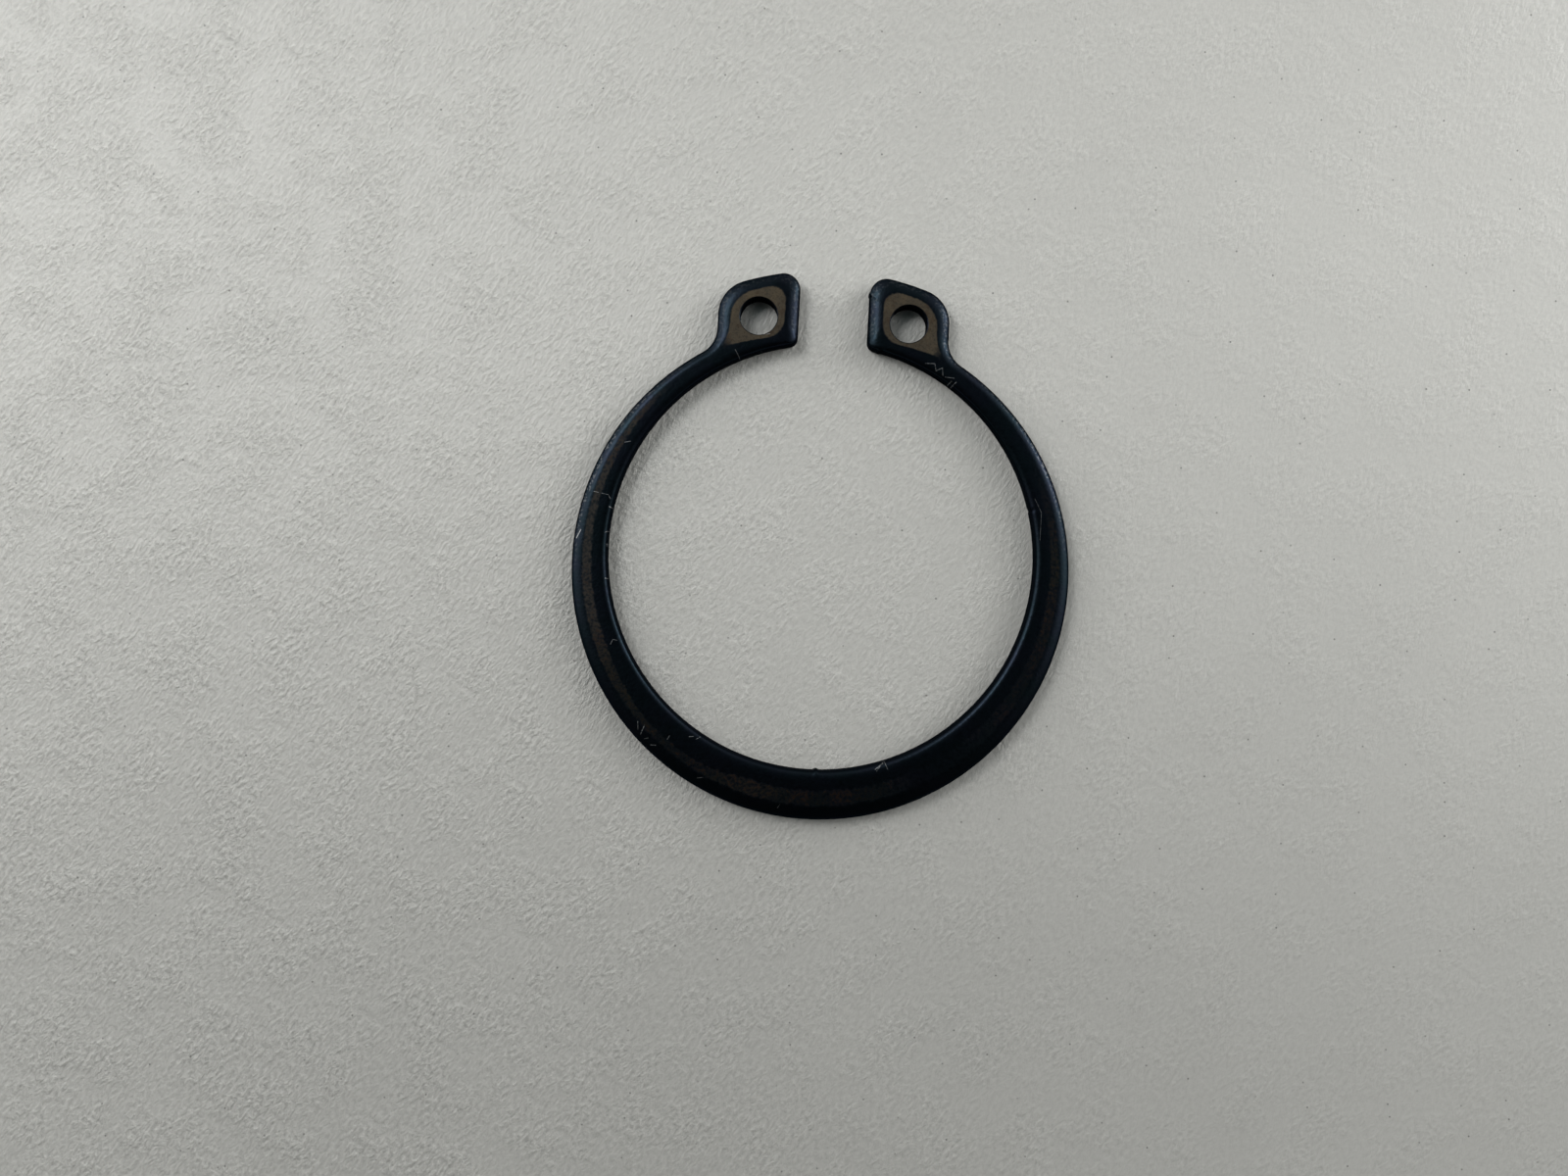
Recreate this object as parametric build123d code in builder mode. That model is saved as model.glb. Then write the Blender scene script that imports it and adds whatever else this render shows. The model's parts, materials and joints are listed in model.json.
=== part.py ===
from build123d import *
from math import cos, radians, sin, sqrt
import os

# External retaining ring (circlip) for a 32 mm shaft: one piece, stamped from spring steel strip.
# Millimetres, +Z up. The origin is the centre of the bore on the flat lower face, and +Y runs
# through the gap between the lugs. The blanking press left the upper edges widely rolled and the
# lower edges nearly square.

# Body
thickness = 1.5
free_diameter = 29.6  # bore of the ring while it is off its shaft
beam_back = 3.35  # radial width opposite the gap
beam_front = 1.41  # radial width that the tapering beam runs out to at the gap

# Lugs
gap = 4.82  # between the end faces of the two lugs
lug_height = 5.0  # from the bore to the top of a lug, along a radius
lug_side = 8.0  # from the middle of the gap to the far side of a lug
toe_radius = 1.15  # plan corners of a lug: upper one at the gap,
heel_radius = 0.6  # lower one at the gap,
shoulder_radius = 2.4  # upper one away from the gap,
root_radius = 2.0  # and the hollow where the lug grows out of the beam

# Plier holes
hole_diameter = 2.58
hole_spacing = 10.34  # between the two holes
hole_height = 2.3  # from the bore to a hole's centre, along a radius
hole_break = 0.06  # bevel at both mouths of a hole

# Rolled upper edges
roll_depth = 0.6  # how far down the sides the roll reaches
roll_steps = 6  # sections that carry the quarter ellipse of the roll
flat_back = 0.83  # width of the flat that is left on the beam, opposite the gap
flat_front = 0.07  # and at the gap
bore_share = 0.55  # share of the rolled width that lies on the bore side
end_roll = 1.08  # width of the roll on a lug's end face,
side_roll = 1.0  # on its far side,
crest_roll = 1.0  # along its top,
root_roll = 1.0  # round its root,
under_roll = 0.5  # and under it, measured on the centre line
under_curve = 1.75  # radius of the flat's lower edge on a lug, as a multiple of the bore's
flat_toe_radius = 0.9  # plan corners of the flat on a lug
flat_heel_radius = 1.5
flat_shoulder_radius = 2.0

lower_break = 0.12  # radius of the lower edges

# Circles of the plan, all centred on the Y axis
bore_radius = free_diameter / 2
rim_radius = bore_radius + (beam_back + beam_front) / 2
rim_y = (beam_front - beam_back) / 2
roll_back = beam_back - flat_back
roll_front = beam_front - flat_front
flat_bore_radius = bore_radius + bore_share * (roll_back + roll_front) / 2
flat_bore_y = bore_share * (roll_front - roll_back) / 2
flat_rim_radius = rim_radius - (1 - bore_share) * (roll_back + roll_front) / 2
flat_rim_y = rim_y + (1 - bore_share) * (roll_back - roll_front) / 2
under_radius = under_curve * bore_radius
under_y = bore_radius + under_roll - under_radius
tip_radius = bore_radius + lug_height


def towards(start, target, distance):
    """The point a distance from start, on the way to target."""
    return start + (target - start).normalized() * distance


def centre_at(x, hub, reach):
    """The upper point at this x that is a reach away from hub."""
    return Vector(x, hub.Y + sqrt(reach**2 - (x - hub.X) ** 2))


def crossing(hub, radius, other_hub, other_radius):
    """Where two circles cross, on the side nearer the gap."""
    apart = (other_hub - hub).length
    along = (apart**2 + radius**2 - other_radius**2) / (2 * apart)
    direction = (other_hub - hub).normalized()
    left = Vector(-direction.Y, direction.X)
    return hub + direction * along + left * sqrt(radius**2 - along**2)


def lug_stations(end_x, side_x, crest, rim, rim_reach, under, under_reach, corners):
    """Outer stations of half an outline, from the back of the rim to the underside of the lug.

    Each is the centre of the arc that leads to a point, None for a straight line, and the point.
    """
    toe_r, heel_r, shoulder_r, root_r = corners
    hub = Vector(0, 0)
    root = centre_at(side_x + root_r, rim, rim_reach + root_r)
    shoulder = centre_at(side_x - shoulder_r, hub, crest - shoulder_r)
    toe = centre_at(end_x + toe_r, hub, crest - toe_r)
    heel = centre_at(end_x + heel_r, under, under_reach + heel_r)
    stations = [
        (None, rim - Vector(0, rim_reach)),
        (rim, towards(rim, root, rim_reach)),
        (root, Vector(side_x, root.Y)),
        (None, Vector(side_x, shoulder.Y)),
        (shoulder, towards(hub, shoulder, crest)),
        (hub, towards(hub, toe, crest)),
        (toe, Vector(end_x, toe.Y)),
        (None, Vector(end_x, heel.Y)),
        (heel, towards(under, heel, under_reach)),
    ]
    return stations, root


# Half outline of the flat: on a lug it is a drop whose point runs into the narrow neck of the beam
flat_rim = Vector(0, flat_rim_y)
flat_bore = Vector(0, flat_bore_y)
flat_under = Vector(0, under_y)
flat_corners = (flat_toe_radius, flat_heel_radius, flat_shoulder_radius, root_radius + root_roll)
flat_outline, flat_root = lug_stations(
    gap / 2 + end_roll,
    lug_side - side_roll,
    tip_radius - crest_roll,
    flat_rim,
    flat_rim_radius,
    flat_under,
    under_radius,
    flat_corners,
)
neck_radius = (flat_root - flat_bore).length - flat_bore_radius
drop_point = crossing(flat_under, under_radius, flat_root, neck_radius)
neck_end = towards(flat_bore, flat_root, flat_bore_radius)
flat_outline += [
    (flat_under, drop_point),
    (flat_root, neck_end),
    (flat_bore, flat_bore - Vector(0, flat_bore_radius)),
]

# Half outline of the walls, with its stations on the bore level with those of the flat
centre = Vector(0, 0)
wall_corners = (toe_radius, heel_radius, shoulder_radius, root_radius)
wall_outline, _ = lug_stations(
    gap / 2,
    lug_side,
    tip_radius,
    Vector(0, rim_y),
    rim_radius,
    centre,
    bore_radius,
    wall_corners,
)
wall_outline += [
    (centre, towards(centre, drop_point, bore_radius)),
    (centre, towards(centre, neck_end, bore_radius)),
    (centre, Vector(0, -bore_radius)),
]


def middles(stations):
    """Each run of an outline as its first, middle and last point, and whether it is straight."""
    runs = []
    for (_, first), (hub, last) in zip(stations, stations[1:]):
        if hub is None:
            runs.append((first, (first + last) / 2, last, True))
        else:
            outwards = (first - hub).normalized() + (last - hub).normalized()
            middle = hub + outwards.normalized() * (last - hub).length
            runs.append((first, middle, last, False))
    return runs


def outline(inset, height):
    """The closed outline this share of the way in from the walls to the edge of the flat."""
    lift = Vector(0, 0, height)
    runs = []
    for wall_run, flat_run in zip(middles(wall_outline), middles(flat_outline)):
        points = [
            wall_point + (flat_point - wall_point) * inset + lift
            for wall_point, flat_point in zip(wall_run[:3], flat_run[:3])
        ]
        runs.append((points, wall_run[3]))
    other_half = [
        ([Vector(-point.X, point.Y, point.Z) for point in reversed(points)], straight)
        for points, straight in reversed(runs)
    ]
    edges = []
    for points, straight in runs + other_half:
        if straight:
            edges.append(Line(points[0], points[2]))
        else:
            edges.append(ThreePointArc(*points))
    return Wire(edges)


bore_circle = bore_radius + hole_height
hole_y = sqrt(bore_circle**2 - (hole_spacing / 2) ** 2)

# The roll is a quarter ellipse from the wall to the flat, carried by a stack of sections
wall_height = thickness - roll_depth
turns = [radians(90 * step / roll_steps) for step in range(roll_steps + 1)]
sections = [outline(1 - cos(turn), wall_height + roll_depth * sin(turn)) for turn in turns]
rolled_edges = Solid.make_loft(sections)

with BuildPart() as retaining_ring:
    # Walls, straight up to where the roll starts, with their lower edges just broken
    with BuildSketch():
        make_face(outline(0, 0).edges())
    extrude(amount=wall_height)
    fillet(retaining_ring.faces().sort_by(Axis.Z)[0].edges(), lower_break)
    add(rolled_edges)

    # Plier holes, one through each lug
    with Locations((-hole_spacing / 2, hole_y), (hole_spacing / 2, hole_y)):
        Hole(radius=hole_diameter / 2)
    mouths = retaining_ring.edges().filter_by(GeomType.CIRCLE)
    mouths = mouths.filter_by(lambda edge: abs(edge.radius - hole_diameter / 2) < 0.001)
    chamfer(mouths, hole_break)

retaining_ring.part.label = "retaining_ring"

os.makedirs("parts", exist_ok=True)
export_step(retaining_ring.part, "parts/retaining_ring.step")
print("retaining_ring", retaining_ring.part.bounding_box().size, retaining_ring.part.volume)
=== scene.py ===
# %% [markdown]
# # A blackened retaining ring
# The part is an external retaining ring: one strip of spring steel, stamped to an open ring whose
# beam is widest opposite the gap, with a lug and a plier hole at each end. The blanking press
# rolls the upper edges over, heat treatment and an oxide bath turn the steel blue-black, and
# tumbling rubs the flats that stand highest down to a dull brown. This script starts from the
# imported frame, models the ring once more with much finer edges, and gives it that finish.

# %% Load the frame
import json
from math import atan2, cos, pi, radians, sin, sqrt
import bmesh
import bpy
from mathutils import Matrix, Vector


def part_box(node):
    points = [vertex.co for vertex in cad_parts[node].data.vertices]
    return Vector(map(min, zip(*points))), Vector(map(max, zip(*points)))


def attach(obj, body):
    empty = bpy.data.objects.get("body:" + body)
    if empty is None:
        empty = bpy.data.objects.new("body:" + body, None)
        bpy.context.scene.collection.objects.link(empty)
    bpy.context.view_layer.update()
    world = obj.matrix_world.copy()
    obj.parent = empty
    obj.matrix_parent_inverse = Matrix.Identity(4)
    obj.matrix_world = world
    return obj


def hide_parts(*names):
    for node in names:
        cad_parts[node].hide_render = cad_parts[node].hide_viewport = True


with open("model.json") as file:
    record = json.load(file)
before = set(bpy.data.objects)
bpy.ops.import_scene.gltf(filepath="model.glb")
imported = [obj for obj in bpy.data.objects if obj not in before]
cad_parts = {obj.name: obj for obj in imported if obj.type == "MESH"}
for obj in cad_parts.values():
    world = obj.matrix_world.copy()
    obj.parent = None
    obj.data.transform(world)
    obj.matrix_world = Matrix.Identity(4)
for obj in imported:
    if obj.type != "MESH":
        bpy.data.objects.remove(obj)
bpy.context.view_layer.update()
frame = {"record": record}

# %% [markdown]
# ## Sizes
# The mounts in the record say where the bore and the plier holes are, and the box says how thick
# the ring is. The other sizes are those of the ring's own drawing, in metres, so the new ring lies
# where the steel one does. It leaves the drawing in two places only: the bore side of the rolled
# edge is squarer, and a few burrs are added.

# %% Sizes that come from the frame
mm = 0.001
mounts = {mount["name"]: mount for mount in frame["record"]["mounts"]}
_, ring_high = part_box("retaining_ring")
thickness = ring_high.z
bore_radius = mounts["shaft_seat"]["dims"]["r_mm"] * mm
hole_radius = mounts["plier_hole_right"]["dims"]["r_mm"] * mm
hole_centres = [Vector(mounts[name]["pos_m"][:2]) for name in ("plier_hole_left", "plier_hole_right")]
print("bore radius", bore_radius, "thickness", round(thickness, 5), "hole radius", hole_radius)

# %% Sizes of the drawing
beam_back = 3.35 * mm
beam_front = 1.41 * mm
gap = 4.82 * mm
tip_radius = bore_radius + 5.0 * mm
lug_side = 8.0 * mm
lower_break = 0.12 * mm
hole_break = 0.06 * mm

# The walls' corners, in plan: toe, heel, shoulder and root of a lug
wall_corners = (1.15 * mm, 0.6 * mm, 2.4 * mm, 2.0 * mm)
print("beam from", beam_front, "to", beam_back, "and across the lugs", 2 * lug_side)

# %% Sizes of the flat that the rolled edges leave
roll_depth = 0.6 * mm
flat_back = 0.83 * mm
flat_front = 0.07 * mm
bore_share = 0.55
end_roll = 1.08 * mm
side_roll = 1.0 * mm
crest_roll = 1.0 * mm
under_roll = 0.5 * mm
under_radius = 1.75 * bore_radius
flat_corners = (0.9 * mm, 1.5 * mm, 2.0 * mm, 3.0 * mm)

# How square the roll is: 2 is an ellipse, and a larger number hugs the corner
rim_squareness = 2.1
bore_squareness = 5.2
print("width of the roll at the back", round(beam_back - flat_back, 5))

# %% [markdown]
# ## Plan of the ring
# In plan the ring is two outlines: the walls, and the flat inside them. Such outlines could be
# drawn as curves and nudged until they look right. Here each is a chain of arcs and straight runs
# that touch without a corner, so every joint can be worked out from the circle centres, and a
# changed size carries through. Both chains have the same number of runs. A point on one has its
# partner on the other, and the rolled edge is what lies between the two.

# %% Helpers for touching circles
def towards(start, target, distance):
    """The point a distance from start, on the way to target."""
    return start + (target - start).normalized() * distance


def centre_at(x, hub, reach):
    """The upper point at this x that is a reach away from hub."""
    return Vector((x, hub.y + sqrt(reach**2 - (x - hub.x) ** 2)))


def crossing(hub, radius, other_hub, other_radius):
    """Where two circles cross, on the side nearer the gap."""
    apart = (other_hub - hub).length
    along = (apart**2 + radius**2 - other_radius**2) / (2 * apart)
    direction = (other_hub - hub).normalized()
    left = Vector((-direction.y, direction.x))
    return hub + direction * along + left * sqrt(radius**2 - along**2)


def lug_stations(end_x, side_x, crest, rim, rim_reach, under, under_reach, corners):
    """Half an outline from the back of the rim to under the lug: arc centre, or None, and point."""
    toe_r, heel_r, shoulder_r, root_r = corners
    hub = Vector((0, 0))
    root = centre_at(side_x + root_r, rim, rim_reach + root_r)
    shoulder = centre_at(side_x - shoulder_r, hub, crest - shoulder_r)
    toe = centre_at(end_x + toe_r, hub, crest - toe_r)
    heel = centre_at(end_x + heel_r, under, under_reach + heel_r)
    stations = [
        (None, rim - Vector((0, rim_reach))),
        (rim, towards(rim, root, rim_reach)),
        (root, Vector((side_x, root.y))),
        (None, Vector((side_x, shoulder.y))),
        (shoulder, towards(hub, shoulder, crest)),
        (hub, towards(hub, toe, crest)),
        (toe, Vector((end_x, toe.y))),
        (None, Vector((end_x, heel.y))),
        (heel, towards(under, heel, under_reach)),
    ]
    return stations, root


# %% The outline of the flat
centre = Vector((0, 0))
rim_radius = bore_radius + (beam_back + beam_front) / 2
rim = Vector((0, (beam_front - beam_back) / 2))
roll_back = beam_back - flat_back
roll_front = beam_front - flat_front
flat_bore_radius = bore_radius + bore_share * (roll_back + roll_front) / 2
flat_bore = Vector((0, bore_share * (roll_front - roll_back) / 2))
flat_rim_radius = rim_radius - (1 - bore_share) * (roll_back + roll_front) / 2
flat_rim = rim + Vector((0, (1 - bore_share) * (roll_back - roll_front) / 2))
under = Vector((0, bore_radius + under_roll - under_radius))

flat_stations, flat_root = lug_stations(
    gap / 2 + end_roll, lug_side - side_roll, tip_radius - crest_roll,
    flat_rim, flat_rim_radius, under, under_radius, flat_corners,
)
neck_radius = (flat_root - flat_bore).length - flat_bore_radius
drop_point = crossing(under, under_radius, flat_root, neck_radius)
neck_end = towards(flat_bore, flat_root, flat_bore_radius)
flat_stations += [
    (under, drop_point),
    (flat_root, neck_end),
    (flat_bore, flat_bore - Vector((0, flat_bore_radius))),
]
print("width of the flat's neck", round((neck_radius - flat_corners[3]) / mm, 3), "mm")

# %% The outline of the walls
wall_stations, _ = lug_stations(
    gap / 2, lug_side, tip_radius, rim, rim_radius, centre, bore_radius, wall_corners
)
wall_stations += [
    (centre, towards(centre, drop_point, bore_radius)),
    (centre, towards(centre, neck_end, bore_radius)),
    (centre, Vector((0, -bore_radius))),
]
print("runs in half an outline", len(wall_stations) - 1)

# %% [markdown]
# ## From runs to points
# A mesh needs points, about a tenth of a millimetre apart so that the small corners stay round.
# Each run is walked in equal steps, on the wall and on the flat together. The same walk notes how
# square the roll is there: the bore side was pinched hard against the punch, so its edge is
# tighter than the rim's, and the two blend over the heel of each lug.

# %% Walk both outlines
spacing = 0.11 * mm
fewest_steps = 6
heel_run = 7


def along_run(start, hub, end, share):
    """The point this share of the way along one run."""
    if hub is None:
        return start.lerp(end, share)
    first, last = start - hub, end - hub
    turn = atan2(first.x * last.y - first.y * last.x, first.dot(last))
    angle = turn * share
    x = first.x * cos(angle) - first.y * sin(angle)
    y = first.x * sin(angle) + first.y * cos(angle)
    return hub + Vector((x, y))


def run_length(start, hub, end):
    """The length of one run."""
    if hub is None:
        return (end - start).length
    first, last = start - hub, end - hub
    return first.length * abs(first.angle(last))


half = []
pairs = list(zip(wall_stations, flat_stations))
for number, (begin, finish) in enumerate(zip(pairs, pairs[1:])):
    wall_run = (begin[0][1], finish[0][0], finish[0][1])
    flat_run = (begin[1][1], finish[1][0], finish[1][1])
    steps = max(fewest_steps, round(run_length(*wall_run) / spacing))
    for step in range(steps):
        share = step / steps
        blend = 0.0 if number < heel_run else share if number == heel_run else 1.0
        square = rim_squareness + (bore_squareness - rim_squareness) * blend
        half.append((along_run(*wall_run, share), along_run(*flat_run, share), square))
half.append((wall_stations[-1][1], flat_stations[-1][1], bore_squareness))
other = [(Vector((-w.x, w.y)), Vector((-f.x, f.y)), square) for w, f, square in half[-2:0:-1]]
walk = half + other
print("points round the ring", len(walk))

# %% [markdown]
# ## Burrs
# A worn punch leaves small burrs on the cut edge: here two on the bore, one on the end face of a
# lug, and a shallow nick in the bore. They change the silhouette, so a bump in the finish would
# not do. Each one pushes the nearby points of the walls' outline outwards, most at its
# middle and not at all at its foot. Everything above and below follows once that is extruded.

# %% Push the outline out at each burr: place in mm, how far it stands out, half its width
# A nick has a number below zero, because it goes into the steel.
burrs = [
    ((0.44, -14.79), 0.11, 0.2), ((3.19, 14.45), 0.07, 0.22), ((2.41, 18.37), 0.08, 0.16),
    ((14.25, 3.99), -0.06, 0.18),
]


def inwards(number):
    """The direction into the steel at one point of the walls' outline."""
    before, after = walk[number - 1][0], walk[(number + 1) % len(walk)][0]
    ahead = (after - before).normalized()
    return Vector((-ahead.y, ahead.x))


moved_out = 0
for spot, standing, width in burrs:
    swelling = []
    for number, (wall_point, _, _) in enumerate(walk):
        apart = (wall_point - Vector(spot) * mm).length / (width * mm)
        if apart < 1:
            swelling.append((number, inwards(number) * standing * mm * (1 - apart**2) ** 2))
    for number, push in swelling:
        wall_point, flat_point, square = walk[number]
        walk[number] = (wall_point - push, flat_point, square)
    moved_out += len(swelling)
print("points moved by burrs", moved_out)

# %% [markdown]
# ## The steel
# The walls' outline is drawn once and then extruded, ring by ring: up and inwards over the rolled
# edge to the flat, and down the wall to the broken lower edge. A Bevel could round the edge too,
# but with one width all round, and this roll is wide on the rim and tight at the bore. Extruding
# keeps every ring joined to the one below. A roll attribute goes with each ring, from 0 on the
# wall to 1 on the flat, because the finish follows the edge.

# %% Start the mesh with the outline of the walls
bm = bmesh.new()
roll_layer = bm.verts.layers.float.new("roll")
wall_top = thickness - roll_depth
first_loop = [bm.verts.new((w.x, w.y, wall_top)) for w, _, _ in walk]
first_edges = [bm.edges.new(pair) for pair in zip(first_loop, first_loop[1:] + first_loop[:1])]


def extrude_loop(edges, loop, place):
    """Extrudes a closed loop, puts each new point where place says, and returns the new loop."""
    result = bmesh.ops.extrude_edge_only(bm, edges=edges)["geom"]
    new_verts = {v for v in result if isinstance(v, bmesh.types.BMVert)}
    new_edges = [e for e in result if isinstance(e, bmesh.types.BMEdge)]
    moved = []
    for number, vert in enumerate(loop):
        above = next(e.other_vert(vert) for e in vert.link_edges if e.other_vert(vert) in new_verts)
        above.co, above[roll_layer] = place(number)
        moved.append(above)
    kept = [e for e in new_edges if e.verts[0] in new_verts and e.verts[1] in new_verts]
    return kept, moved


print("edges in the first loop", len(first_edges))

# %% Roll the upper edge over
roll_steps = 15
edges, loop = first_edges, first_loop
for step in range(1, roll_steps + 1):
    turn = radians(90 * step / roll_steps)

    def on_roll(number, turn=turn):
        """A point of this ring on the roll, and how far over it lies."""
        wall_point, flat_point, square = walk[number]
        inset = 1 - max(cos(turn), 0.0) ** (2 / square)
        height = wall_top + roll_depth * sin(turn) ** (2 / square)
        point = wall_point.lerp(flat_point, inset)
        return (point.x, point.y, height), inset

    edges, loop = extrude_loop(edges, loop, on_roll)
flat_edges = edges
print("faces after the roll", len(bm.faces))

# %% Take the wall down to the broken lower edge
wall_steps = 3
break_steps = 4
edges, loop = first_edges, first_loop
for step in range(1, wall_steps + 1):
    height = wall_top + (lower_break - wall_top) * step / wall_steps
    edges, loop = extrude_loop(
        edges, loop, lambda number, z=height: ((*walk[number][0], z), 0.0)
    )
for step in range(1, break_steps + 1):
    turn = radians(90 * step / break_steps)
    inset, height = lower_break * (1 - cos(turn)), lower_break * (1 - sin(turn))

    def on_break(number, inset=inset, z=height):
        """A point of this ring on the lower break."""
        point = walk[number][0] + inwards(number) * inset
        return (point.x, point.y, z), 0.0

    edges, loop = extrude_loop(edges, loop, on_break)
lower_edges = edges
print("faces after the wall", len(bm.faces))

# %% [markdown]
# ## The plier holes
# Pliers reach into a round hole in each lug, with a small break at both of its mouths. A Boolean
# would cut them, and leave thin triangles where its circle meets the face. Here a circle starts
# at the upper mouth and is extruded down the bore. Then one fill spans each face, between the
# outline and the two mouths, and the ring is closed.

# %% Bore the plier holes
hole_sides = 72
upper_rims, lower_rims = [], []
for hole in hole_centres:
    rings = [
        (thickness, hole_radius + hole_break), (thickness - hole_break, hole_radius),
        (thickness / 2, hole_radius), (hole_break, hole_radius), (0.0, hole_radius + hole_break),
    ]
    made = bmesh.ops.create_circle(bm, segments=hole_sides, radius=rings[0][1], cap_ends=False)
    bmesh.ops.translate(bm, verts=made["verts"], vec=(hole.x, hole.y, thickness))
    edges = list({e for v in made["verts"] for e in v.link_edges})
    upper_rims += edges
    for height, radius in rings[1:]:
        result = bmesh.ops.extrude_edge_only(bm, edges=edges)["geom"]
        verts = [v for v in result if isinstance(v, bmesh.types.BMVert)]
        edges = [e for e in result if isinstance(e, bmesh.types.BMEdge)]
        for vert in verts:
            outwards = (vert.co.xy - hole).normalized() * radius
            vert.co = (hole.x + outwards.x, hole.y + outwards.y, height)
    lower_rims += edges
for vert in {v for e in upper_rims for v in e.verts}:
    vert[roll_layer] = 1.0
print("holes bored", len(hole_centres))

# %% Close the flat and the lower face
for rims, outline_edges, facing in ((upper_rims, flat_edges, 1), (lower_rims, lower_edges, -1)):
    bmesh.ops.triangle_fill(
        bm, use_beauty=True, use_dissolve=False, edges=outline_edges + rims, normal=(0, 0, facing)
    )
bmesh.ops.recalc_face_normals(bm, faces=bm.faces)
open_edges = [e for e in bm.edges if len(e.link_faces) != 2]
print("volume in mm3", round(bm.calc_volume(signed=True) / mm**3, 1))
print("faces", len(bm.faces), "edges without two faces", len(open_edges))

# %% Make the piece
sharp_edge = radians(32)
mesh = bpy.data.meshes.new("steel_ring")
for face in bm.faces:
    face.smooth = True
for edge in bm.edges:
    if len(edge.link_faces) == 2 and edge.calc_face_angle(0.0) > sharp_edge:
        edge.smooth = False
bm.to_mesh(mesh)
bm.free()
ring = bpy.data.objects.new("steel_ring", mesh)
bpy.context.scene.collection.objects.link(ring)
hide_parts("retaining_ring")
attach(ring, "root")
print("piece", ring.name, "with", len(mesh.polygons), "faces")

# %% [markdown]
# ## Writing shader maths
# A finish is mostly arithmetic on masks: this much brown here, a scratch there. Linking a Math
# node for every plus sign hides what is meant, so a small class wraps a socket and lets Python
# write the sum.

# %% A class for shader expressions
class Graph:
    """Builds nodes in one tree."""

    def __init__(self, tree):
        self.tree = tree

    def node(self, kind, settings=None, inputs=None, output=0):
        """Makes a node, sets its settings first and then its sockets, and returns one output."""
        made = self.tree.nodes.new(kind)
        for name, value in (settings or {}).items():
            if name == "stops":
                stops = made.color_ramp
                while len(stops.elements) < len(value):
                    stops.elements.new(0.5)
                for element, (position, colour) in zip(stops.elements, value):
                    element.position = position
                    element.color = colour
            else:
                setattr(made, name, value)
        for name, value in (inputs or {}).items():
            self.plug(value, made.inputs[name])
        return Value(self, made.outputs[output])

    def plug(self, value, socket):
        """Links a value to a socket, or writes a plain number, vector or colour there."""
        if isinstance(value, Value):
            self.tree.links.new(value.socket, socket)
        else:
            socket.default_value = value

    def math(self, operation, *values, clamp=False):
        """One Math node."""
        settings = {"operation": operation, "use_clamp": clamp}
        return self.node("ShaderNodeMath", settings, dict(enumerate(values)))

    def vector(self, operation, *values, output=0):
        """One Vector Math node."""
        settings = {"operation": operation}
        return self.node("ShaderNodeVectorMath", settings, dict(enumerate(values)), output)

    def split(self, vector):
        """The three parts of a vector."""
        first = self.node("ShaderNodeSeparateXYZ", {}, {0: vector})
        return [Value(self, socket) for socket in first.socket.node.outputs]

    def mix(self, share, first, second):
        """Mixes two colours."""
        inputs = {0: share, 6: first, 7: second}
        return self.node("ShaderNodeMix", {"data_type": "RGBA"}, inputs, 2)

    def step(self, value, low, high):
        """A smooth step from 0 at low to 1 at high."""
        settings = {"interpolation_type": "SMOOTHSTEP"}
        inputs = {0: value, 1: low, 2: high, 3: 0.0, 4: 1.0}
        return self.node("ShaderNodeMapRange", settings, inputs)

    def noise(self, place, scale, detail=3.0, roughness=0.55):
        """Noise, as features per metre."""
        inputs = {"Vector": place, "Scale": scale, "Detail": detail, "Roughness": roughness}
        return self.node("ShaderNodeTexNoise", {}, inputs)

    def ramp(self, stops, value):
        """A colour ramp, read at value."""
        return self.node("ShaderNodeValToRGB", {"stops": stops}, {0: value})


class Value:
    """A socket that can stand in a sum."""

    def __init__(self, graph, socket):
        self.graph = graph
        self.socket = socket

    def __add__(self, other):
        return self.graph.math("ADD", self, other)

    def __sub__(self, other):
        return self.graph.math("SUBTRACT", self, other)

    def __rsub__(self, other):
        return self.graph.math("SUBTRACT", other, self)

    def __mul__(self, other):
        return self.graph.math("MULTIPLY", self, other)

    __radd__ = __add__
    __rmul__ = __mul__


def grey(level):
    """A grey for a ramp."""
    return (level, level, level, 1.0)


def new_material(name):
    """A material with its graph and its Principled shader."""
    material = bpy.data.materials.new(name)
    material.use_nodes = True
    return material, Graph(material.node_tree), material.node_tree.nodes["Principled BSDF"]


# %% [markdown]
# ## The finish: where things are
# Blue-black oxide is a thin dark skin on steel, so it still mirrors the room, only faintly and
# with a blue cast: a metallic shader with a very dark blue base does that better than black
# paint. Wear on a ring goes round it, so masks are placed by bearing, which is the angle from the
# gap, and by radius, and not by an unwrapped map. Four grains of noise keep them from being even.

# %% Coordinates and noise of the steel
steel, graph, shader = new_material("blackened_steel")
place = graph.node("ShaderNodeTexCoord", output=3)
across, up_ring, height = graph.split(place)
bearing = graph.math("ARCTAN2", across, up_ring) * (1 / (2 * pi)) + 0.5
roll = graph.node("ShaderNodeAttribute", {"attribute_name": "roll"}, output=2)
fine = graph.noise(place, 9000.0)
medium = graph.noise(place, 2600.0)
speckle = graph.noise(place, 5200.0, detail=2.0)
broad = graph.noise(place, 420.0, detail=2.0)
on_lugs = graph.step(up_ring, 13.6 * mm, 14.4 * mm)
flat_place = graph.vector("MULTIPLY", place, (1.0, 1.0, 0.0))
from_centre = graph.vector("LENGTH", flat_place, output=1) + (medium - 0.5) * (0.3 * mm)


def turn_stop(clockwise_degrees):
    """The place on a bearing ramp of an angle counted clockwise from the gap."""
    return ((clockwise_degrees + 180) % 360) / 360


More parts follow.
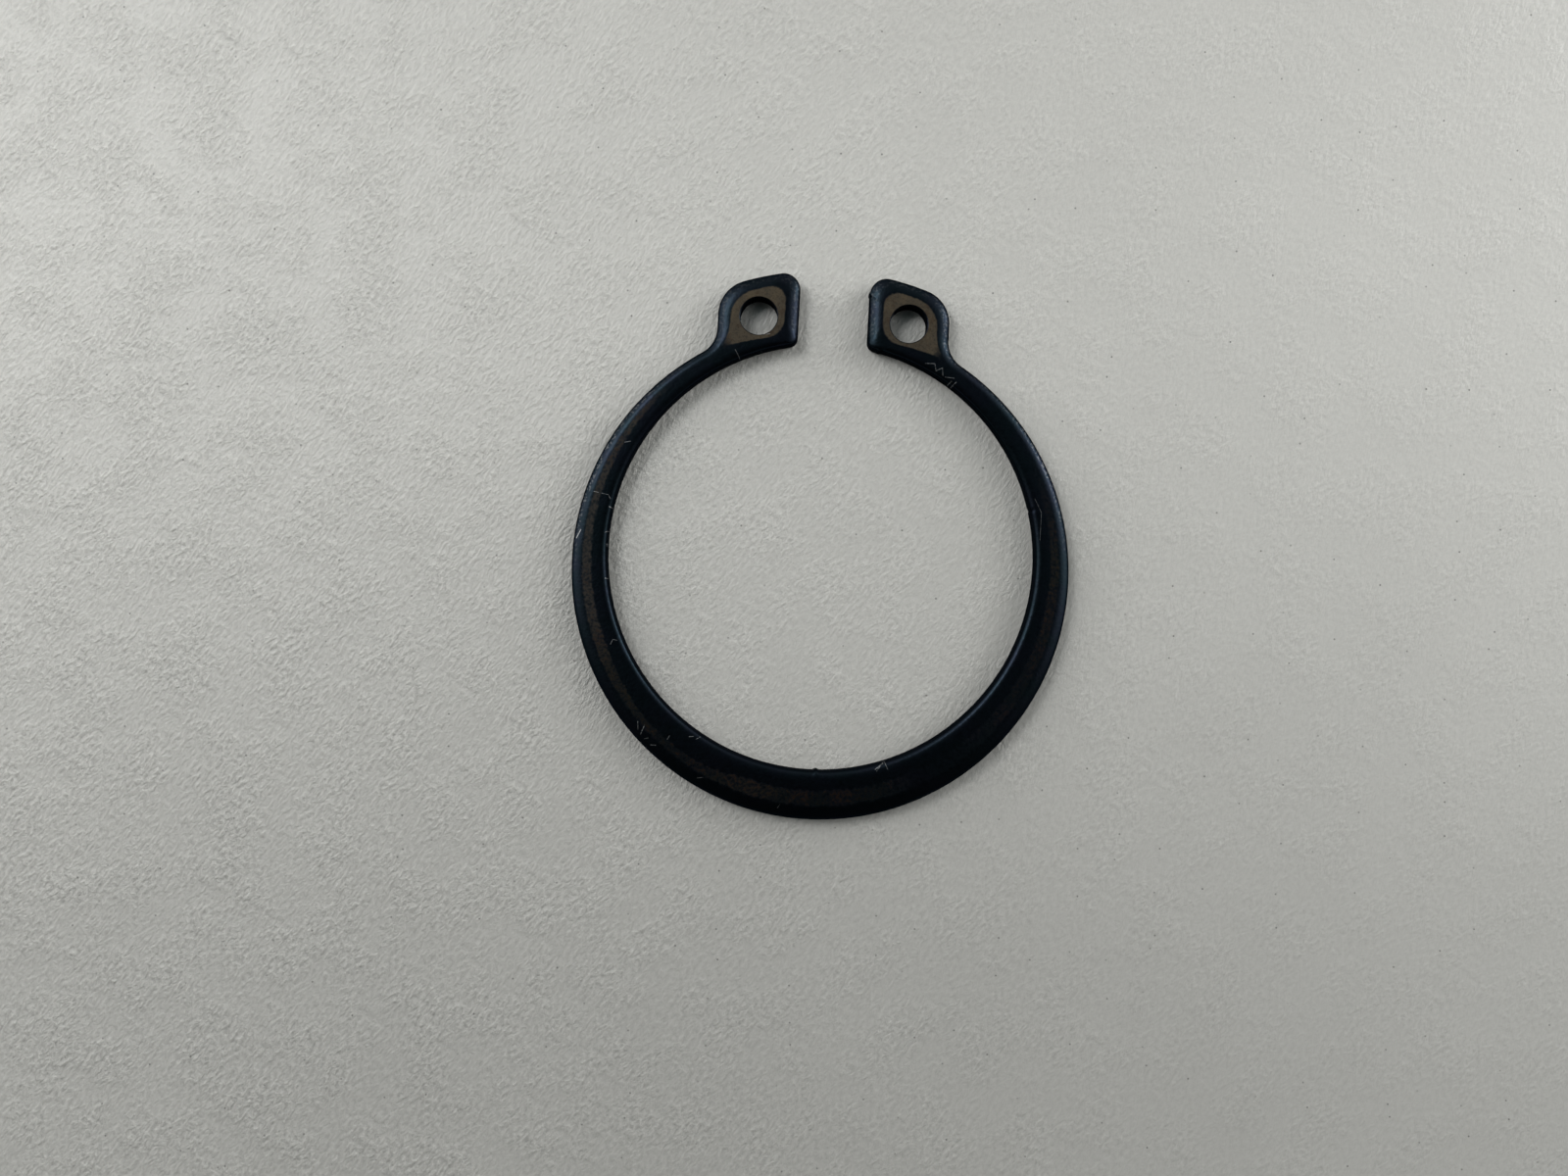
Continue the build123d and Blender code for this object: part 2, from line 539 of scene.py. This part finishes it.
def round_ring(levels):
    """A ramp over the bearing, from pairs of a clockwise angle and a level or a colour."""
    stops = [
        (turn_stop(angle), grey(level) if isinstance(level, float) else level)
        for angle, level in levels
    ]
    return graph.ramp(stops, bearing)


print("the back of the ring is at", turn_stop(180), "on a ramp")

# %% [markdown]
# ## The worn stripe
# The flat stands highest, so that is where tumbling has thinned the oxide to brown. A sharp
# border would look painted: the roll attribute is given some noise and a wide step, and the
# stripe fades in and out round the ring. On the lugs the border is cleaner, and from the back of
# the ring to its left side the stripe keeps to the outer part of the beam.

# %% How worn the steel is
stripe_levels = [
    (181, 0.85), (212, 0.75), (232, 0.8), (250, 0.95), (285, 1.0), (303, 0.85), (316, 0.0),
    (332.6, 0.0), (334.4, 1.0), (25.6, 1.0), (27.4, 0.0), (62, 0.0), (76, 0.35), (86, 0.7),
    (112, 0.65), (130, 0.45), (143, 0.12), (154, 0.08), (162, 0.75), (179, 0.85),
]
stripe = round_ring(stripe_levels)
unevenness = (medium - 0.5) * 0.26 + (fine - 0.5) * 0.22
ragged = roll + unevenness * (1 - on_lugs * 0.6)
mottling = graph.math("MAXIMUM", 0.55 + 0.9 * graph.step(speckle, 0.3, 0.7), on_lugs)
upper = graph.step(height, thickness - 0.2 * mm, thickness - 0.05 * mm)
print("stops in the stripe", len(stripe_levels))

# %% The stripe's inner border, as a radius in mm at each bearing
ramp_reach = 20
inner_levels = [
    (185, 15.0), (199, 16.1), (209, 16.42), (226, 16.32), (246, 15.8), (262, 15.68), (283, 15.6),
    (300, 15.52), (316, 15.3), (328, 14.0),
]
inner_border = round_ring([(angle, radius / ramp_reach) for angle, radius in inner_levels])
outside_border = graph.step(from_centre - inner_border * (ramp_reach * mm), 0.0, 0.12 * mm)
worn = graph.step(ragged, 0.84, 1.06 - on_lugs * 0.1) * mottling * stripe * upper * outside_border
print("border between", min(r for _, r in inner_levels), "and", max(r for _, r in inner_levels))

# %% [markdown]
# ## Colours
# Oxide is not one blue: heat draws it from navy to violet, with darker pores. The worn brown
# changes more, from a pale tan on the lugs to almost black at the back, so its colour is a ramp
# over the bearing, with straw on the lugs and a little rust elsewhere. Metals this dark need
# numbers near 0.02, because a base colour is linear light.

# %% Colours of the oxide
navy = (0.0118, 0.0192, 0.0250, 1.0)
violet = (0.0145, 0.0186, 0.0285, 1.0)
ink = (0.0065, 0.0108, 0.0150, 1.0)
oxide = graph.mix(graph.step(broad, 0.35, 0.7), navy, violet)
oxide = graph.mix(graph.step(medium, 0.5, 0.8) * 0.5, oxide, ink)
print("oxide from", navy[:3], "to", violet[:3])

# %% Colours of the worn flats
tan = (0.080, 0.067, 0.049, 1.0)
umber = (0.041, 0.037, 0.033, 1.0)
bronze = (0.020, 0.0165, 0.0115, 1.0)
khaki = (0.0065, 0.0060, 0.0048, 1.0)
rust = (0.032, 0.015, 0.009, 1.0)
straw = (0.120, 0.094, 0.060, 1.0)
colour_levels = [
    (181, khaki), (194, bronze), (212, khaki), (238, bronze), (254, umber), (300, umber),
    (331, tan), (29, tan), (62, bronze), (92, bronze), (120, khaki), (179, khaki),
]
patches = graph.step(graph.noise(place, 700.0), 0.45, 0.7)
flat_colour = graph.mix(patches * on_lugs * 0.6, round_ring(colour_levels), straw)
flat_colour = graph.mix(graph.step(fine, 0.45, 0.75) * 0.45, flat_colour, ink)
flat_colour = graph.mix(graph.step(broad * medium, 0.27, 0.36) * 0.35, flat_colour, rust)
base = graph.mix(worn, oxide, flat_colour)
print("worn colours", len({colour for _, colour in colour_levels}))

# %% [markdown]
# ## Scratches
# The ring carries a few dozen small marks from its life in a box of others. Each is a straight
# tick with two ends, given as bearing and radius, and its mask falls off with distance from the
# line between them. They are too shallow to change the shape, so colour and roughness carry them.
# Bright ticks bare the steel; a dark one is a dent that catches no light.

# %% A mask for each tick
def on_ring(clockwise_degrees, radius):
    """A point on the upper face."""
    angle = radians(clockwise_degrees)
    return Vector((radius * sin(angle), radius * cos(angle), 0)) * mm


def tick(start, end, width):
    """A mask that is 1 on the line between two points and 0 beyond half its width, in mm."""
    line = on_ring(*end) - on_ring(*start)
    offset = graph.vector("SUBTRACT", flat_place, tuple(on_ring(*start)))
    share = graph.vector("DOT_PRODUCT", offset, tuple(line / line.length_squared), output=1)
    share = graph.math("ADD", share, 0.0, clamp=True)
    scaled = {0: tuple(line), "Scale": share}
    nearest = graph.node("ShaderNodeVectorMath", {"operation": "SCALE"}, scaled)
    distance = graph.vector("LENGTH", graph.vector("SUBTRACT", offset, nearest), output=1)
    return graph.math("SUBTRACT", 1.0, distance * (2 / (width * mm)), clamp=True)


def any_tick(ticks):
    """The masks of all these ticks in one."""
    together = tick(*ticks[0])
    for mark in ticks[1:]:
        together = graph.math("MAXIMUM", together, tick(*mark))
    return together


bright_ticks = [
    ((25.2, 15.1), (27.4, 15.4), 0.056), ((27.4, 15.4), (28.6, 15.02), 0.048),
    ((28.6, 15.02), (29.6, 15.42), 0.056), ((29.6, 15.42), (30.8, 15.0), 0.048),
    ((31.5, 15.0), (33.6, 15.3), 0.048), ((33.3, 14.75), (33.5, 15.02), 0.072),
    ((34.4, 14.8), (34.6, 15.16), 0.088), ((71.5, 15.2), (75.5, 15.43), 0.028),
    ((75.5, 15.43), (82.5, 15.08), 0.028), ((159.8, 14.62), (159.5, 15.3), 0.048),
    ((160.2, 14.82), (162.6, 15.06), 0.08), ((161.2, 14.95), (162.4, 15.2), 0.048),
    ((186.4, 17.25), (186.8, 17.5), 0.048), ((205.2, 17.2), (206.2, 17.42), 0.056),
    ((210.8, 14.9), (211.4, 15.22), 0.056), ((212.2, 15.1), (213.2, 15.32), 0.064),
    ((217.2, 16.1), (217.0, 16.4), 0.056), ((218.2, 17.22), (219.2, 17.46), 0.072),
    ((220.6, 17.2), (221.1, 17.45), 0.056), ((222.4, 17.42), (223.3, 16.75), 0.072),
    ((223.6, 17.3), (225.0, 16.92), 0.064), ((244.4, 15.66), (245.3, 15.38), 0.048),
    ((245.3, 15.38), (244.7, 15.15), 0.048), ((261.0, 14.7), (261.3, 14.92), 0.056),
    ((268.0, 14.72), (270.4, 14.8), 0.064), ((273.4, 14.95), (274.0, 14.7), 0.056),
    ((280.0, 14.75), (280.3, 14.97), 0.064), ((282.4, 15.02), (283.0, 15.17), 0.072),
    ((283.0, 16.25), (283.2, 15.22), 0.04), ((297.2, 15.62), (298.2, 15.3), 0.056),
    ((271.4, 16.88), (273.4, 16.62), 0.104), ((334.4, 15.42), (334.7, 14.6), 0.048),
    ((340.6, 14.6), (340.8, 14.78), 0.064), ((343.2, 15.75), (344.0, 15.72), 0.056),
]
dark_ticks = [((74.3, 14.6), (74.5, 14.95), 0.08), ((347.3, 15.0), (347.6, 15.02), 0.112)]
scratched = any_tick(bright_ticks) * graph.step(fine, 0.32, 0.52)
scratched = scratched * graph.step(height, 0.4 * mm, 0.7 * mm)
dented = any_tick(dark_ticks)
print("ticks", len(bright_ticks) + len(dark_ticks))

# %% [markdown]
# ## The frosted rim
# Where rings rub against each other in the box, the crown of the rim turns a frosted grey: many
# tiny scuffs, too small to draw one by one. Noise with a hard step gives such a speckle. It is
# kept to the outer side of the roll, and to the bearings where the rim has rubbed.

# %% How scuffed the rim is
scuff_levels = [
    (181, 0.0), (262, 0.0), (283, 0.8), (303, 1.0), (318, 0.2), (20, 0.3), (48, 0.6), (70, 0.5),
    (84, 0.2), (95, 0.0),
]
frosted = round_ring(scuff_levels) * graph.step(speckle, 0.5, 0.62)
frosted = frosted * graph.step(roll, 0.02, 0.12) * (1 - graph.step(roll, 0.35, 0.6))
frosted = frosted * graph.step(from_centre, bore_radius + 0.8 * mm, bore_radius + 1.1 * mm)
print("stops in the scuffs", len(scuff_levels))

# %% [markdown]
# ## Putting the finish together
# The masks lay one colour over the other, from the oxide up to the bare steel of a scratch. The
# wall was torn through by the punch and never polished, so it is rough. Its near-black colour is
# painted shade: the wall and the steepest part of the roll mirror the shaded sheet beside the ring,
# and black stands in for that. A dark metal still turns pale at a grazing angle, which would draw
# a light line round the ring, and a grey specular tint holds that back. The surface's own grain is
# a fine bump.

# %% The steel's colour
bare = (0.42, 0.43, 0.44, 1.0)
frost = (0.115, 0.122, 0.132, 1.0)
black = (0.004, 0.005, 0.007, 1.0)
base = graph.mix(frosted * 0.8, base, frost)
base = graph.mix(scratched * 0.9, base, bare)
base = graph.mix(dented, base, black)
# painted shade: the wall and the steepest part of the roll are darkened towards black, for the shaded
# sheet they mirror
painted_shade_wall = (1 - graph.step(roll, 0.0, 0.035)) * (1 - scratched)
base = graph.mix(painted_shade_wall * 0.6, base, black)
graph.plug(base, shader.inputs["Base Color"])
print("nodes so far", len(steel.node_tree.nodes))

# %% The steel's sheen and grain
rough = 0.33 + worn * 0.2 + (medium - 0.5) * 0.16 + scratched * 0.2 + painted_shade_wall * 0.35
grain = (speckle - 0.5) * 0.8 + (medium - 0.5) * 0.4
grain_height = 0.02 * mm
bump = graph.node("ShaderNodeBump", {}, {"Strength": 0.6, "Distance": grain_height, "Height": grain})
graph.plug(1 - worn * 0.25, shader.inputs["Metallic"])
graph.plug(rough, shader.inputs["Roughness"])
graph.plug(bump, shader.inputs["Normal"])
shader.inputs["Specular Tint"].default_value = (0.25, 0.26, 0.28, 1.0)
ring.data.materials.append(steel)
print("nodes in the steel", len(steel.node_tree.nodes))

# %% [markdown]
# ## The sheet
# The ring lies on a pale sheet with a pebbled grain, like painted board. The grain is one noise,
# stretched a little along its own direction by a Mapping node. It is used twice: as a bump, and
# as a slight change of tone, so that it holds up in flat light too. It is stronger on the left
# and comes in patches. The sheet's tone also rises slowly towards the far side and both ends:
# that is painted light, the room's fall-off of light painted into the sheet's colour.

# %% The sheet's mesh
floor_size = 2.4
bm = bmesh.new()
bmesh.ops.create_grid(bm, x_segments=1, y_segments=1, size=floor_size / 2)
floor_mesh = bpy.data.meshes.new("floor")
bm.to_mesh(floor_mesh)
bm.free()
floor = bpy.data.objects.new("floor", floor_mesh)
bpy.context.scene.collection.objects.link(floor)
print("sheet of", floor_size, "m")

# %% Its grain
sheet, graph, shader = new_material("pale_sheet")
place = graph.node("ShaderNodeTexCoord", output=3)
along, away, _ = graph.split(place)
grain_way = {"Vector": place, "Rotation": (0.0, 0.0, radians(62)), "Scale": (1.7, 1.0, 1.0)}
turned = graph.node("ShaderNodeMapping", {"vector_type": "TEXTURE"}, grain_way)
pebble = graph.noise(turned, 3600.0, detail=3.0, roughness=0.62)
patches = graph.step(graph.noise(place, 260.0, detail=2.0), 0.36, 0.66)
left_grain = 0.54
grain_drop = 0.34
grain_share = (left_grain - graph.step(along, -55 * mm, 45 * mm) * grain_drop) * (0.6 + 0.6 * patches)
print("grain from", left_grain, "on the left to", round(left_grain - grain_drop, 2), "on the right")

# %% Its tone
near_tone = 0.46
far_painted_light = 0.225
ends_painted_light = 20.0
mottle = graph.noise(place, 60.0, detail=3.0)
# painted light: the sheet's tone rises towards the far side and both ends, standing for the room's
# fall-off of light
tone = near_tone + graph.step(away, -45 * mm, 30 * mm) * far_painted_light + along * along * ends_painted_light
tone = tone + (mottle - 0.5) * 0.05 + (pebble - 0.5) * grain_share
paper = graph.mix(tone, (0.0, 0.0, 0.0, 1.0), (1.0, 1.0, 0.955, 1.0))
print("tone from", near_tone, "to", near_tone + far_painted_light)

# %% [markdown]
# ## Specks in the sheet
# Dark fibres dot the sheet, a few millimetres apart. A Voronoi texture has one point in each
# cell, and the distance to it makes a dot. It has to be the flat, two-dimensional kind, because
# the points of a solid one seldom lie in the plane of the sheet. Each cell's own random colour
# settles how dark its dot is.

# %% Dots, and the sheet's shader
cell_size = 2.8 * mm
fibre = (0.08, 0.08, 0.075, 1.0)
cells = {"Vector": graph.vector("MULTIPLY", place, (1.0, 1.0, 0.0)), "Scale": 1 / cell_size}
to_speck = graph.node("ShaderNodeTexVoronoi", {"voronoi_dimensions": "2D"}, cells)
cell_colour = graph.node("ShaderNodeTexVoronoi", {"voronoi_dimensions": "2D"}, cells, 1)
luck, _, _ = graph.split(cell_colour)
specks = (1 - graph.step(to_speck, 0.010, 0.034)) * graph.step(luck, 0.3, 1.0)
paper = graph.mix(specks * 0.75, paper, fibre)
relief = {"Strength": 1.0, "Distance": 0.34 * mm, "Height": pebble * grain_share}
graph.plug(paper, shader.inputs["Base Color"])
graph.plug(graph.node("ShaderNodeBump", {}, relief), shader.inputs["Normal"])
shader.inputs["Roughness"].default_value = 0.34
floor.data.materials.append(sheet)
print("nodes in the sheet", len(sheet.node_tree.nodes))

# %% [markdown]
# ## The room
# Dark metal shows little but its surroundings. The room is bright at its sides and dark overhead,
# where whoever looks down stands in the light, so the world is a soft dome with a dark crown and
# a dark near side. One ramp goes up from the horizon, another goes round it, and their product is
# the brightness. The crown is a little bluer than the walls.

# %% Dome and walls
world = bpy.data.worlds.new("room")
bpy.context.scene.world = world
world.use_nodes = True
graph = Graph(world.node_tree)
look = graph.node("ShaderNodeTexCoord", output=0)
_, _, overhead = graph.split(look)
dome_stops = [
    (0.0, grey(0.7)), (0.15, grey(1.0)), (0.55, grey(1.0)), (0.77, grey(0.72)), (0.88, grey(0.18)),
    (0.95, grey(0.04)), (1.0, grey(0.035)),
]
level_look = graph.vector("NORMALIZE", graph.vector("MULTIPLY", look, (1.0, 1.0, 0.0)))
_, far_side, _ = graph.split(level_look)
round_stops = [
    (0.0, grey(0.02)), (0.2, grey(0.03)), (0.37, grey(0.10)), (0.5, grey(0.85)), (0.62, grey(1.0)),
    (0.75, grey(1.0)), (0.86, grey(0.5)), (0.94, grey(0.25)), (1.0, grey(0.2)),
]
room_level = 2.2
brightness = graph.ramp(dome_stops, overhead) * graph.ramp(round_stops, far_side * 0.5 + 0.5)
print("stops in the dome", len(dome_stops), "and round it", len(round_stops))

# %% The world's shader
wall_tint = (1.0, 0.99, 0.965, 1.0)
crown_tint = (0.6, 1.0, 1.05, 1.0)
background = world.node_tree.nodes["Background"]
tint = graph.mix(graph.step(overhead, 0.8, 0.95), wall_tint, crown_tint)
graph.plug(tint, background.inputs["Color"])
graph.plug(brightness * room_level, background.inputs["Strength"])
print("brightest wall", room_level)

# %% [markdown]
# ## Lamps and camera
# The dome is too even for crisp highlights. A high window on the left draws the bright line along
# the rim, and a small low one on the right catches the bore's edge at the lower left. Both are
# round area lamps that face the ring. The camera looks straight down.

# %% The lamps
def soft_lamp(name, place, size, energy):
    """A round lamp that faces the ring."""
    lamp = bpy.data.lights.new(name, "AREA")
    lamp.shape = "DISK"
    lamp.size = size
    lamp.energy = energy
    window = bpy.data.objects.new(name, lamp)
    window.location = place
    window.rotation_euler = (-window.location).to_track_quat("-Z", "Y").to_euler()
    bpy.context.scene.collection.objects.link(window)


soft_lamp("window", place=(-0.27, 0.20, 0.42), size=0.20, energy=0.65)
soft_lamp("far_window", place=(0.30, 0.16, 0.12), size=0.14, energy=0.26)
print("lamps", len(bpy.data.lights))

# %% The camera
camera_data = bpy.data.cameras.new("camera")
camera_data.sensor_width = 36.0
camera_data.lens = 27.05
camera_data.clip_start = 0.005
camera = bpy.data.objects.new("camera", camera_data)
camera.location = (-2.43 * mm, -2.27 * mm, 82.4 * mm)
camera.rotation_euler = (0.0, 0.0, radians(3.1))
bpy.context.scene.collection.objects.link(camera)
bpy.context.scene.camera = camera
bpy.context.scene.view_settings.view_transform = "Standard"
print("camera at", [round(v, 5) for v in camera.location])
